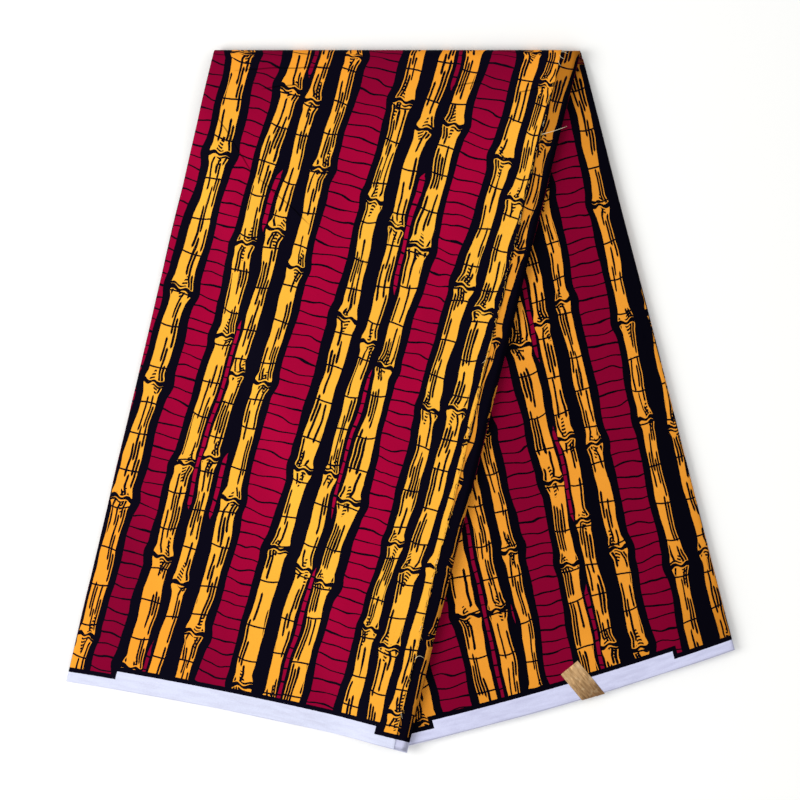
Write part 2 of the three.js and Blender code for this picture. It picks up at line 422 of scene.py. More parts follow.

# Dyes of each piece, each with the colour that it is mixed towards: cane and crimson in random blotches, and
# as painted shade near the fold and away from a painted pool of light in the middle; the selvedge as painted
# shade of small wrinkles. border is the navy beside a cane, sliver the half width of the crimson in a narrow
# gap, and wide where along the hem the selvedge is wide.
# painted shade towards the fold and a painted pool of light, for the back leg and the inner plies
backPaintedShade = {"foldShadeReach": 190, "paintedLightAt": (104, 40), "paintedLightReach": (225, 420)}
clothLooks = {
    "front": {
        "crimson": ("#A90337", "#7E022C"), "cane": ("#FBBA3D", "#F69C2E"), "navy": "#080614",
        "selvedge": ("#D9DDF3", "#C4C4DA"), "wide": (40.8, 268.9), "border": 6.8, "sliver": 1.5,
        "foldShadeReach": 110, "paintedLightAt": (-26, 70), "paintedLightReach": (250, 397),
    },
    # painted shade: the back leg's dyes are darker copies of the front leg's
    "back": {
        "crimson": ("#86022D", "#740026"), "cane": ("#F4A034", "#C67A20"), "navy": "#04030C",
        "selvedge": ("#D2D4F0", "#B4B4D2"), "wide": (28.7, 244.5), "border": 7, "sliver": 1.5,
        **backPaintedShade,
    },
    # painted shade: the inner plies' dyes are darker still than the back leg's
    "hidden": {
        "crimson": ("#6C0220", "#5C001C"), "cane": ("#EA9A30", "#B06C1C"), "navy": "#060410",
        "selvedge": ("#CED0EA", "#BCBCD8"), "wide": (40.8, 268.9), "border": 6.8, "sliver": 0,
        **backPaintedShade,
    },
}

selvedgeSizes = {"narrow": 8.2, "wide": 15.2, "line": 4, "lineBeyond": 3.6}

# A colour ramp with one stop for each half of each lane. Red is the cane's middle as a share of the
# ramp's span, and green its half width over 20 mm. Blue is half the gap on that side over 20 mm if the
# gap is a narrow one, or else 0, and alpha how much of it is open.
def fillLanes(ramp, canes, low, span):
    count = len(canes)
    spaces = [canes[k + 1][0] - canes[k + 1][1] - canes[k][0] - canes[k][1] for k in range(count - 1)]
    cuts = [low] + [canes[k][0] + canes[k][1] + spaces[k] / 2 for k in range(count - 1)]
    gaps = [99] + spaces + [99]
    stops = []
    for k, (middle, half, _) in enumerate(canes):
        for side, place in ((k, cuts[k]), (k + 1, middle)):
            narrow = gaps[side] / 40 if gaps[side] < waxPrint["narrowGap"] else 0
            colour = ((middle - low) / span, half / 20, narrow, canes[side - 1][2])
            stops.append(((place - low) / span, colour))
    ramp.color_ramp.interpolation = "CONSTANT"
    elements = ramp.color_ramp.elements
    while len(elements) < len(stops):
        elements.new(0.99)
    for element, (place, colour) in zip(elements, stops):
        element.position = place
        element.color = colour


# A noise or a draw with a middle of 0.5, as a sway of a given size about a base
def swayed(put, value, size, base):
    return put("MULTIPLY_ADD", put("SUBTRACT", value, 0.5), size, base)


# Smooth noise over a place that is put together from three values
def noiseAt(put, x, y, z, detail):
    return put("TexNoise", {"Vector": put("CombineXYZ", x, y, z), "Scale": 1, "Detail": detail})


# Three random numbers that belong to a key
def drawThree(put, key, **settings):
    return put("SeparateXYZ", put("TexWhiteNoise", key, **settings).outputs["Color"]).outputs


# What all marks share: which cane is nearest, the place across and along it, its three own draws, and
# turned, the place across counted towards the edge that the strokes are on
def findCane(put, grain, canes, seed):
    at = SimpleNamespace(printed=put("SeparateXYZ", put("UVMap", uv_map="print")).outputs)
    at.u, at.v = [swayed(put, grain[k], 2 * waxPrint["edgeGrain"], at.printed[k]) for k in range(2)]
    margin = waxPrint["laneMargin"]
    low = canes[0][0] - margin
    span = canes[-1][0] + margin - low
    lanes = put("ValToRGB", put("MapRange", at.u, low, low + span))
    fillLanes(lanes, canes, low, span)
    middle, half, gap = put("SeparateXYZ", lanes.outputs["Color"]).outputs[:3]
    at.half = put("MULTIPLY", half, 20)
    at.gap = put("MULTIPLY", gap, 20)
    at.open = lanes.outputs["Alpha"]
    at.across = put("SUBTRACT", at.u, put("MULTIPLY_ADD", middle, span, low))
    at.distance = put("ABSOLUTE", at.across)
    at.cane = put("ADD", put("ROUND", put("MULTIPLY", middle, 400)), seed)
    at.own = drawThree(put, {"W": at.cane}, noise_dimensions="1D")
    heavySide = put("MULTIPLY_ADD", put("GREATER_THAN", at.own[2], 0.36), 2, -1)
    at.turned = put("MULTIPLY", at.across, heavySide)
    return at


# The cell that a place is in, and how far the place is from the cell's middle
def cellOf(put, place):
    number = put("FLOOR", place)
    return number, put("SUBTRACT", put("SUBTRACT", place, number), 0.5)


# Marks that follow each other along a cane: the distance from the nearest, its number and its draws
def marksAlong(put, at, sizes, shift):
    number, far = cellOf(put, put("ADD", put("DIVIDE", at.v, sizes["spacing"]), shift))
    draw = drawThree(put, put("CombineXYZ", at.cane, number, sizes["spacing"]))
    far = swayed(put, draw[0], sizes["jitter"], far)
    return put("MULTIPLY", far, sizes["spacing"]), number, draw


# Where the joints are, and the cane's half width with its swellings, nips and lumps
def formCane(put, at):
    sizes = jointSizes
    far, at.joint, at.jointDraw = marksAlong(put, at, sizes, put("MULTIPLY", at.own[0], 7))
    at.tipped = put("MULTIPLY_ADD", at.across, put("MULTIPLY_ADD", at.jointDraw[1], 0.3, -0.13), far)
    phase = put("MULTIPLY", at.jointDraw[2], 6)
    curl = put("SINE", put("MULTIPLY_ADD", at.across, sizes["curlTurn"], phase))
    at.jointPlace = put("MULTIPLY_ADD", curl, sizes["curl"], at.tipped)
    at.fromJoint = put("ABSOLUTE", at.jointPlace)
    swell, nip = [put("MapRange", at.fromJoint, *sizes[key], 0, **soft) for key in ("swell", "nip")]
    edge = put("MULTIPLY", put("SIGN", at.across), 3)
    lumps = noiseAt(put, edge, put("MULTIPLY", at.v, 0.035), at.cane, 1)
    formed = put("ADD", at.half, put("SUBTRACT", swell, nip))
    at.halfWidth = swayed(put, lumps, sizes["lumps"], formed)


# Crimson lies beyond a navy border that bulges softly past a joint. A narrow gap is all navy but for a
# crimson sliver in its middle here and there. Thin wavy lines cross the crimson.
def crimsonBands(put, at, look, seed):
    bulge = put("MapRange", put("ABSOLUTE", at.tipped), 0, 13, 2, 0, **soft)
    gapKey = put("MULTIPLY", at.gap, 14)
    quick = noiseAt(put, put("MULTIPLY", at.v, 0.045), put("ADD", gapKey, at.cane), seed, 1)
    border = swayed(put, quick, 2 * waxPrint["borderSway"], look["border"])
    outer = put("ADD", put("ADD", at.half, bulge), border)

    slow = noiseAt(put, put("MULTIPLY", at.v, 0.011), gapKey, seed, 0)
    ease = put("MULTIPLY_ADD", at.open, 0.6, slow)
    opened = put("MapRange", ease, 0.78, 0.86, 2.4, -look["sliver"], **soft)
    sliver = put("ADD", swayed(put, quick, 1.6, put("ADD", at.half, at.gap)), opened)
    inNarrow = put("GREATER_THAN", at.gap, 0.2)
    start = put("MULTIPLY_ADD", inNarrow, put("SUBTRACT", sliver, outer), outer)

    warp = noiseAt(put, put("MULTIPLY", at.u, 0.05), put("MULTIPLY", at.v, 0.06), seed, 0.5)
    place = swayed(put, warp, waxPrint["bandLineSway"], at.v)
    far = put("PINGPONG", place, waxPrint["bandLineSpacing"] / 2)
    half = waxPrint["bandLineHalf"]
    line = put("LESS_THAN", far, put("MapRange", quick, 0.3, 0.7, 0.85 * half, 1.25 * half))
    return put("GREATER_THAN", at.distance, start), line


# A joint's thick curling line, thinner in the middle, and a lip beside one half of it
def jointMarks(put, at):
    sizes = jointSizes
    half = put("MapRange", at.distance, 1, 7, sizes["thin"], sizes["thick"])
    line = put("LESS_THAN", at.fromJoint, half)
    up = put("MULTIPLY_ADD", put("GREATER_THAN", at.jointDraw[0], 0.5), 2 * sizes["lipFar"], -sizes["lipFar"])
    side = put("MULTIPLY_ADD", put("GREATER_THAN", at.jointDraw[1], 0.4), 2, -1)
    half = put("MapRange", put("MULTIPLY", at.across, side), -2, 2.5, 0, sizes["lipHalf"])
    lip = put("LESS_THAN", put("ABSOLUTE", put("SUBTRACT", at.jointPlace, up)), half)
    return put("MAXIMUM", line, lip)


# Combs on both sides of a joint, with shorter and shorter dashes away from it
def combMarks(put, at):
    sizes = combSizes
    below = put("GREATER_THAN", at.jointPlace, 0)
    draw = drawThree(put, put("CombineXYZ", put("ADD", at.cane, put("MULTIPLY", below, 0.37)), at.joint, 9))
    reach = put("MapRange", draw[0], 0, 1, *sizes["reach"])
    wide = put("MapRange", draw[2], 0, 1, *sizes["wide"])
    inReach = put("LESS_THAN", at.fromJoint, reach)
    half = put("MULTIPLY", put("MapRange", at.fromJoint, 1.5, reach, wide, 0.8), inReach)
    middle = put("SUBTRACT", put("MULTIPLY_ADD", draw[1], 5.1, 0.5), half)
    inComb = put("LESS_THAN", put("ABSOLUTE", put("SUBTRACT", at.turned, middle)), half)
    row = put("PINGPONG", put("MULTIPLY_ADD", at.turned, 0.14, at.fromJoint), sizes["spacing"] / 2)
    dash = put("MULTIPLY", inComb, put("LESS_THAN", row, sizes["dashHalf"]))
    return put("MULTIPLY", dash, put("GREATER_THAN", at.fromJoint, sizes["clear"]))


# Thin rings that slant and bend across the cane
def ringMarks(put, at):
    far, _, draw = marksAlong(put, at, ringSizes, put("MULTIPLY", at.own[1], 5))
    bend = put("MULTIPLY", put("MULTIPLY", at.across, at.across), put("MULTIPLY_ADD", draw[2], 0.045, -0.012))
    tipped = put("MULTIPLY_ADD", at.across, put("MULTIPLY_ADD", draw[1], 0.34, -0.12), far)
    return put("LESS_THAN", put("ABSOLUTE", put("ADD", tipped, bend)), ringSizes["half"])


# Long broken strokes in columns beside one edge of the cane, fewer and fewer towards the other
def strokeMarks(put, at):
    sizes = strokeSizes
    fromEdge = put("SUBTRACT", put("SUBTRACT", at.halfWidth, at.turned), 0.5)
    column, far = cellOf(put, put("DIVIDE", fromEdge, sizes["column"]))
    far = put("MULTIPLY", put("ABSOLUTE", far), sizes["column"])
    columnDraw = put("TexWhiteNoise", put("CombineXYZ", column, at.cane, 0.5))
    cellPlace = put("ADD", put("DIVIDE", at.v, sizes["cell"]), put("MULTIPLY", columnDraw, 3))
    cell, cellFar = cellOf(put, cellPlace)
    draw = drawThree(put, put("CombineXYZ", column, at.cane, cell))
    wanted = put("GREATER_THAN", draw[0], put("MapRange", column, 0, 4, 0.02, 0.80))
    reach = put("MULTIPLY_ADD", draw[1], 0.26, 0.24)
    cellFar = put("ABSOLUTE", cellFar)
    half = put("MapRange", cellFar, put("SUBTRACT", reach, 0.045), reach, sizes["half"], 0)
    drawn = put("MULTIPLY", wanted, put("LESS_THAN", far, half))
    onFace = put("LESS_THAN", at.distance, put("SUBTRACT", at.halfWidth, 0.6))
    clear = put("MULTIPLY", onFace, put("GREATER_THAN", at.fromJoint, sizes["clear"]))
    return put("MULTIPLY", drawn, clear)


# The selvedge: bare cloth below a stepped navy line, with painted shade of small wrinkles as duller streaks
# along the hem
def selvedgeDyes(put, grain, look, seed):
    sizes = selvedgeSizes
    hem = put("SeparateXYZ", put("UVMap", uv_map="hem")).outputs
    along, above = swayed(put, grain[2], 0.5, hem[0]), swayed(put, grain[1], 0.5, hem[1])
    start, end = look["wide"]
    clean, wrinkleShadedColour = [hexColour(text) for text in look["selvedge"]]

    def under(narrow, beyond):
        inWide = put("COMPARE", along, (start + end) / 2, (end - start) / 2 + beyond)
        return put("LESS_THAN", above, put("MULTIPLY_ADD", inWide, sizes["wide"] - sizes["narrow"], narrow))

    # painted shade of small wrinkles, as duller streaks along the hem
    streak = noiseAt(put, put("MULTIPLY", along, 0.05), put("MULTIPLY", above, 0.3), seed, 4)
    wrinkleShadeAmount = put("MapRange", streak, 0.42, 0.66, 0, 0.4)
    bare = put("Mix", {0: wrinkleShadeAmount, 6: clean, 7: wrinkleShadedColour}, **asColour)
    onLine = under(sizes["narrow"] + sizes["line"], sizes["lineBeyond"])
    return [(onLine, hexColour(look["navy"])), (under(sizes["narrow"], 0), bare)]


# How far the dyes are mixed towards their deeper colour: in random blotches of dye, and as painted shade
# towards the fold and away from a painted pool of light in the middle, by the square of the distance as
# a share of how far that light reaches
def paintedShadeAndMottle(put, look, x, y, blotch):
    mottled = put("MapRange", blotch, 0.35, 0.68, 0, 0.35)
    crest = fold["crestY"] * mm
    # painted shade towards the fold
    foldPaintedShade = put("MapRange", y, crest - look["foldShadeReach"] * mm, crest)
    # painted light: brightest at a point in the middle, darker outwards
    offX, offY = [put("MULTIPLY", put("SUBTRACT", value, middle * mm), 1 / (reach * mm))
                  for value, middle, reach in zip((x, y), look["paintedLightAt"], look["paintedLightReach"])]
    squared = put("MULTIPLY_ADD", offX, offX, put("MULTIPLY", offY, offY))
    paintedFalloff = put("MapRange", squared, 0.25, 0.95, 0, 0.9)
    return put("MAXIMUM", put("MAXIMUM", mottled, foldPaintedShade), paintedFalloff)


# Fine creases: each a line between its two ends, half a millimetre wide and faint at both
def creaseLines(put, x, y, blotch, creases):
    total = put("ADD", 0, 0)
    for x1, y1, x2, y2 in creases:
        dx, dy = x2 - x1, y2 - y1
        length = float(np.hypot(dx, dy))
        fromX = put("SUBTRACT", put("DIVIDE", x, mm), x1)
        fromY = put("SUBTRACT", put("DIVIDE", y, mm), y1)
        along = put("MULTIPLY_ADD", fromX, dx / length**2, put("MULTIPLY", fromY, dy / length**2))
        off = put("MULTIPLY_ADD", fromX, dy / length, put("MULTIPLY", fromY, -dx / length))
        off = swayed(put, blotch, 9, off)
        inside = put("MapRange", put("ABSOLUTE", put("SUBTRACT", along, 0.5)), 0.3, 0.5, 1, 0)
        line = put("MapRange", put("ABSOLUTE", off), 0.2, 0.9, 1, 0, **soft)
        total = put("MULTIPLY_ADD", line, inside, total)
    return total


# The printed cloth: dye areas with their marks, the selvedge, creases, and the weave's relief
def printedCotton(name, key, creases, seed):
    material, put, shader = newMaterial(name)
    look = clothLooks[key]
    place = put("TexCoord").outputs["Object"]
    x, y = put("SeparateXYZ", place).outputs[:2]
    grain = put("TexNoise", {"Vector": place, "Scale": 420, "Detail": 2}).outputs["Color"]
    grain = put("SeparateXYZ", grain).outputs
    blotch = put("TexNoise", {"Vector": place, "Scale": 14, "Detail": 3})
    speck = put("TexNoise", {"Vector": place, "Scale": 900, "Detail": 1})

    at = findCane(put, grain, caneTables[key], seed)
    formCane(put, at)
    onCrimson, bandLines = crimsonBands(put, at, look, seed)
    marks = [draw(put, at) for draw in (jointMarks, combMarks, ringMarks, strokeMarks)]
    caneMarks = reduce(partial(put, "MAXIMUM"), marks)

    shadeAndMottle = paintedShadeAndMottle(put, look, x, y, blotch)
    navy = hexColour(look["navy"])
    dyes = {}
    for dye, lines in (("cane", caneMarks), ("crimson", bandLines)):
        bright, mottledAndShaded = [hexColour(text) for text in look[dye]]
        # random blotches of dye and painted shade mix each dye towards its deeper colour
        plain = put("Mix", {0: shadeAndMottle, 6: bright, 7: mottledAndShaded}, **asColour)
        dyes[dye] = put("Mix", {0: lines, 6: plain, 7: navy}, **asColour)
    onCane = put("LESS_THAN", at.distance, at.halfWidth)
    areas = [(onCrimson, dyes["crimson"]), (onCane, dyes["cane"])]
    dyed = navy
    for area, dye in areas + selvedgeDyes(put, grain, look, seed):
        dyed = put("Mix", {0: area, 6: dyed, 7: dye}, **asColour)

    # uneven take-up of the dye, painted shade along the fine creases, and painted shadow in a seam between
    # two plies
    creaseReliefAndShade = creaseLines(put, x, y, blotch, creases)
    shade = put("MULTIPLY_ADD", speck, 0.14, put("MULTIPLY_ADD", blotch, 0.12, 0.80))
    # painted shade darkens the colour along the fine creases
    shade = put("MULTIPLY_ADD", creaseReliefAndShade, -0.55, shade)
    # painted shadow darkens the colour in a seam between two plies
    seamShade = put("SeparateXYZ", put("UVMap", uv_map="seamShade"))
    shade = put("MULTIPLY", shade, put("MapRange", seamShade, 0, 1, 1, 0.12))
    shades = put("CombineXYZ", shade, shade, shade)
    uneven = put("Mix", {0: 1, 6: dyed, 7: shades}, blend_type="MULTIPLY", **asColour)

    # plain weave: one thread over, one under, in both ways of the cloth
    rate = 2 * np.pi / waxPrint["threadSpacing"]
    warp, weft = [put("SINE", put("MULTIPLY", at.printed[k], rate)) for k in range(2)]
    weave = put("MULTIPLY_ADD", put("MULTIPLY", warp, weft), 0.5, speck)
    bump = put("Bump", {"Strength": 0.2, "Distance": 0.0002, "Height": weave})
    bump = put("Bump", {"Strength": 0.6, "Distance": 0.0006, "Height": creaseReliefAndShade, "Normal": bump})
    feed(shader, {"Base Color": uneven, "Normal": bump, "Roughness": 0.66, "Specular IOR Level": 0.015})
    return material


print("printed cotton")
cottons = {}
for key, words, creases, seed in (("front", "front leg", fineCreases, 3.0), ("back", "back leg", [], 41.0),
                                  ("hidden", "inner plies", [], 77.0)):
    cottons[key] = printedCotton("wax-printed calendered cotton, " + words, key, creases, seed)


# The top ply of the front leg: lies on the layers, runs round the fold and tucks beneath it

topPlySizes = {
    "rows": 250, "foldRows": 22, "tuckRows": 6, "columns": 138,
    "insetAtFold": 16.0, "insetAtHem": 11.8,  # from the folded edge beneath to the raw edge
    "edgeSway": 0.7,  # how unevenly the raw edge was cut
    "curl": 0.8, "curlWidth": 5.0,  # the raw edge lifts a little
    "rimOut": 0.16,  # how far the rounded edge stands out
}


def makeTopPly():
    sizes = topPlySizes
    columns = np.linspace(0, 1, sizes["columns"])
    frontDown = np.linspace(1, 0, sizes["rows"], endpoint=False)
    turns = np.linspace(0, 1, sizes["foldRows"])
    backDown = np.linspace(0, (stack["tuckLength"] - 2) / backLength, sizes["tuckRows"] + 1)[1:]
    _, outer, facing, down = stripFaces(columns, frontDown, turns, backDown)
    rows = len(outer)
    onFront = np.arange(rows) < sizes["rows"]
    down = np.where(onFront, down[:, 0], 0)

    # the raw edge: every row is squeezed towards the left so that it ends there
    inset = sizes["insetAtFold"] + (sizes["insetAtHem"] - sizes["insetAtFold"]) * down
    far = down * 600
    inset = inset + sizes["edgeSway"] * unevenness(far, 0, 60, 5) * smoothStep(down, 0, 0.05)
    share = columns[None, :] * (1 - inset / fold["width"])[:, None]
    place = share * (sizes["columns"] - 1)
    low = np.clip(np.floor(place).astype(int), 0, sizes["columns"] - 2)
    part = (place - low)[..., None]
    r = np.arange(rows)[:, None]
    under = outer[r, low] * (1 - part) + outer[r, low + 1] * part

    fromRaw = (1 - columns)[None, :] * fold["width"]
    curl = sizes["curl"] * (0.6 + 0.4 * unevenness(far, 0, 45, 6))
    lift = curl[:, None] * np.exp(-fromRaw / sizes["curlWidth"])
    lift = lift * smoothStep(down, 0.0, 0.04)[:, None] * onFront[:, None]
    inner = under + facing * (stack["gap"] + lift)[..., None]
    face = inner + facing * stack["plyThickness"]

    overFold = np.clip((r[:, 0] - sizes["rows"]) / sizes["foldRows"], 0, 1.4)
    turned = np.where(onFront, 0, np.pi * foldOuterRadius * overFold)
    printed = printMap(under[..., 0], under[..., 1], printRuns["front"], turned[:, None])
    frontDownAll = np.concatenate([foldShareRow(frontDown), np.zeros(rows - sizes["rows"])])
    hem = hemMap(legs["front"], share, frontDownAll[:, None])
    rim = [{"depth": depth, "out": sizes["rimOut"]} for depth in (0.25, 0.75)]
    piece = closedSheet("front_cloth", inner, face, {"print": printed, "hem": hem}, rim, cottons["front"])
    return piece, face[:sizes["rows"], -1]


# The ply that shows on the back leg, on the layers and under the front leg

backPlySizes = {
    "rows": 200, "columns": 128, "rimOut": 0.18,
    "deepest": -0.3,  # the relief goes no lower, because the layers lie beneath it
}


def makeBackPly():
    sizes = backPlySizes
    columns = np.linspace(0, 1, sizes["columns"])[None, :]
    down = np.linspace(stack["tuckLength"] / backLength, 1, sizes["rows"])[:, None]
    share = foldShare(legs["back"], columns)
    fullDown = share + (1 - share) * down
    x, y = legPlan(legs["back"], columns, fullDown)
    # relief only where the front leg doesn't press on it
    frontRightX, frontRightY = sidePoint(legs["front"], "right", 0)
    lean = np.radians(legs["front"]["rightLean"])
    clear = (x - frontRightX) * np.cos(lean) + (y - frontRightY) * np.sin(lean)
    relief = backRelief(x, y) * smoothStep(clear, 2, 22)
    face = pressed(together(x, y, stack["legHeight"] + np.maximum(relief, sizes["deepest"])))
    lower = face - np.array([0, 0, stack["plyThickness"]])
    printed = printMap(x, y, printRuns["back"])
    hem = hemMap(legs["back"], columns, fullDown)
    rim = [{"depth": 0.5, "out": sizes["rimOut"]}]
    return closedSheet("back_cloth", face, lower, {"print": printed, "hem": hem}, rim, cottons["back"])


# The hidden plies of both legs: eight folded leaves on each side, sixteen cut ends at each hem

layerSizes = {
    "frontRows": 150, "foldRows": 16, "backRows": 120, "columns": 60,
    "leaves": 8, "rimSteps": 4, "valley": 1.7, "leafOut": 0.5, "leafSpread": 0.7, "seed": 8,
}


def makeLayers():
    sizes = layerSizes
    columns = np.linspace(0, 1, sizes["columns"])
    frontDown = np.linspace(1, 0, sizes["frontRows"], endpoint=False)
    turns = np.linspace(0, 1, sizes["foldRows"])
    backDown = np.linspace(0, 1, sizes["backRows"] + 1)[1:]
    inner, outer, _, down = stripFaces(columns, frontDown, turns, backDown)
    rows = len(inner)
    under = np.maximum(inner[..., 2:], 0)
    inner = np.concatenate([inner[..., :2], under], -1)

    isBack = np.arange(rows) >= sizes["frontRows"] + sizes["foldRows"]
    fromFold = np.where(down[:, :1] > 0, foldShareRow(down[:, :1]), 0)
    turned = np.cumsum(np.where((np.arange(rows) >= sizes["frontRows"]) & ~isBack,
                                np.pi * foldOuterRadius / sizes["foldRows"], 0))
    x, y, onBack = outer[..., 0], outer[..., 1], isBack[:, None, None]
    printed = np.where(onBack, printMap(x, y, printRuns["back"]),
                       printMap(x, y, printRuns["hidden"], turned[:, None]))
    hem = np.where(onBack, hemMap(legs["back"], columns[None, :], fromFold),
                   hemMap(legs["front"], columns[None, :], fromFold))

    i, j = edgeOf(rows, sizes["columns"])
    middle = (inner + outer) / 2
    edge = middle[i, j]
    atHem = (i == 0) | (i == rows - 1)
    run = edge[:, 0] + edge[:, 1]
    rng = np.random.default_rng(sizes["seed"])
    rim = []
    for leaf in range(sizes["leaves"]):
        sideOut = rng.uniform(-1, 1) * sizes["leafSpread"]
        hemOut = rng.uniform(-1, 1) * sizes["leafSpread"]
        sway = 0.35 * unevenness(run, edge[:, 0], 160, 60 + leaf)
        reach = np.where(atHem, hemOut, sideOut) + sway + sizes["leafOut"]
        # the print runs on over the two uppermost leaves, and the others show other stretches of it
        uppermost = np.where(isBack[i], leaf < 2, leaf >= sizes["leaves"] - 2)
        shift = rng.uniform(0, 90) * ~uppermost
        for step in range(sizes["rimSteps"] + 1):
            if step == sizes["rimSteps"] and leaf == sizes["leaves"] - 1:
                break
            phase = np.pi * (step + 0.5) / sizes["rimSteps"]
            swelling = np.sin(phase) ** 0.5 if step < sizes["rimSteps"] else 0
            share = (step + 0.5) / (sizes["rimSteps"] + 0.5) if step < sizes["rimSteps"] else 1
            rim.append({
                "depth": (leaf + share) / sizes["leaves"],
                "out": -sizes["valley"] + (reach + sizes["valley"]) * swelling,
                "print": together(shift, 0.1 * shift),
                # painted shadow, full in the valley between two leaves
                "seamShade": np.array([1 - swelling, 0]),
            })
    return closedSheet("folded_plies", inner, outer, {"print": printed, "hem": hem}, rim, cottons["hidden"])


print("cloth")
frontCloth, rawEdge = makeTopPly()
backCloth = makeBackPly()
foldedPlies = makeLayers()


# Yarns of the raw edge: short ends that fray out of it, mostly along it, and a few long loose threads

frays = {
    "count": 380, "shortest": 1.2, "longest": 6.5, "radius": 0.13, "steps": 7, "sides": 4, "seed": 14,
}

# A row is the x and y of one end and of the other, how high the middle arches, how far it bows to one
# side, and half the thickness
looseThreads = [
    (121.6, 229.4, 143.6, 236.3, 1.0, 0.5, 0.22),
    (12.6, -222.6, 20.6, -221.0, 0.8, -2.6, 0.18),
    (137.4, 298.0, 141.8, 294.6, 0.6, 0.9, 0.15),
    (138.6, 300.6, 144.0, 298.9, 0.5, -0.8, 0.15),
    (136.2, 293.4, 138.4, 288.6, 0.5, 0.5, 0.15),
]


# Thin tubes along paths of shape (yarns, steps, 3). Each ring of points lies square to its path.
def yarnTubes(name, paths, radius, sides, tones, material):
    count, steps = paths.shape[:2]
    way = np.gradient(paths, axis=1)
    way = way / np.linalg.norm(way, axis=-1, keepdims=True)
    level = np.cross(way, [0.0, 0.0, 1.0])
    level = level / np.linalg.norm(level, axis=-1, keepdims=True)
    upright = np.cross(level, way)
    turn = 2 * np.pi * np.arange(sides) / sides
    taper = (1 - 0.5 * np.linspace(0, 1, steps) ** 3)[None, :, None, None]
    ring = level[:, :, None] * np.cos(turn)[:, None] + upright[:, :, None] * np.sin(turn)[:, None]
    points = paths[:, :, None] + ring * radius[:, None, None, None] * taper
    grid = np.arange(count * steps * sides).reshape(count, steps, sides)
    beside = np.roll(grid, -1, 2)
    walls = np.stack([grid[:, :-1], beside[:, :-1], beside[:, 1:], grid[:, 1:]], -1)
    ends = [grid[:, 0, ::-1], grid[:, -1]]
    faces = np.concatenate([walls.reshape(-1, 4)] + ends)
    toneMap = np.repeat(tones, steps * sides)[:, None] * np.ones(2)
    return meshObject(name, points.reshape(-1, 3), faces, {"tone": toneMap}, material)


# Single cotton yarns, dyed through like the print that they come from, or left pale
def yarnCotton():
    material, put, shader = newMaterial("cotton yarns, frayed")
    tone = put("SeparateXYZ", put("UVMap", uv_map="tone"))
    colour = hexColour("#0C0A18")
    for above, dye in ((0.48, "#E8B044"), (0.9, "#E9DFC0")):
        dyedHere = put("GREATER_THAN", tone, above)
        colour = put("Mix", {0: dyedHere, 6: colour, 7: hexColour(dye)}, **asColour)
    feed(shader, {"Base Color": colour, "Roughness": 0.8, "Specular IOR Level": 0.05})
    return material


# Frayed ends start along the raw edge and point down it, turned outwards by a random angle
def frayedEnds(edge, t, rng):
    count = frays["count"]
    place = rng.uniform(0.035, 0.97, count) * (len(edge) - 1)
    low = place.astype(int)
    start = edge[low] + (edge[low + 1] - edge[low]) * (place - low)[:, None]
    start = start - np.array([0.9, 0, 0])
    length = frays["shortest"] + (frays["longest"] - frays["shortest"]) * rng.uniform(0, 1, count) ** 2.2
    turn = np.radians(legs["front"]["rightLean"] + rng.normal(15, 15, count))
    bend = rng.uniform(-0.12, 0.12, count) * length
    along = together(np.sin(turn), -np.cos(turn))
    square = together(along[:, 1], -along[:, 0])
    flat = start[:, None, :2] + along[:, None] * (t * length[:, None])[..., None]
    flat = flat + square[:, None] * (4 * t * (1 - t) * bend[:, None])[..., None]
    height = start[:, 2:] - (start[:, 2:] - edge[low, 2:] + 0.25) * t + 0.12
    return np.concatenate([flat, height[..., None]], -1)


# Loose threads arch between their two ends: up by arch and sideways by bow, times 4t(1 - t)
def looseArches(rows, t):
    near, far, arch, bow = rows[:, None, :2], rows[:, None, 2:4], rows[:, 4:5], rows[:, 5:6]
    way = (far - near) / np.linalg.norm(far - near, axis=-1, keepdims=True)
    side = together(way[..., 1], -way[..., 0])
    swing = 4 * t * (1 - t)
    flat = near + (far - near) * t[:, None] + side * (swing * bow)[..., None]
    level = np.full(flat.shape[:2] + (1,), stackTop)
    height = pressed(np.concatenate([flat, level], -1))[..., 2] + 1.0 + swing * arch
    return np.concatenate([flat, height[..., None]], -1)


# All yarns at once. The tone is 1 for a loose thread, and random below that for a frayed end.
def makeYarns(edge):
    rng = np.random.default_rng(frays["seed"])
    rows = np.array(looseThreads)
    t = np.linspace(0, 1, frays["steps"])
    paths = np.concatenate([frayedEnds(edge, t, rng), looseArches(rows, t)])
    tones = np.concatenate([rng.uniform(0, 0.93, frays["count"]), np.full(len(rows), 1.0)])
    radius = np.concatenate([np.full(frays["count"], frays["radius"]), rows[:, 6]])
    return yarnTubes("raw_edge_yarns", paths, radius, frays["sides"], tones, yarnCotton())


print("yarns")
rawYarns = makeYarns(rawEdge)


# The foil label: gold foil on paper, brushed by its making and creased where it was pressed on

foilSizes = {
    "width": 19, "length": 37, "thickness": 0.12, "bendRadius": 1.4, "hemClearance": 1.9,
    "topX": 146, "topY": -230, "angle": -50.5, "rows": 74, "columns": 38, "lift": 0.12,
}


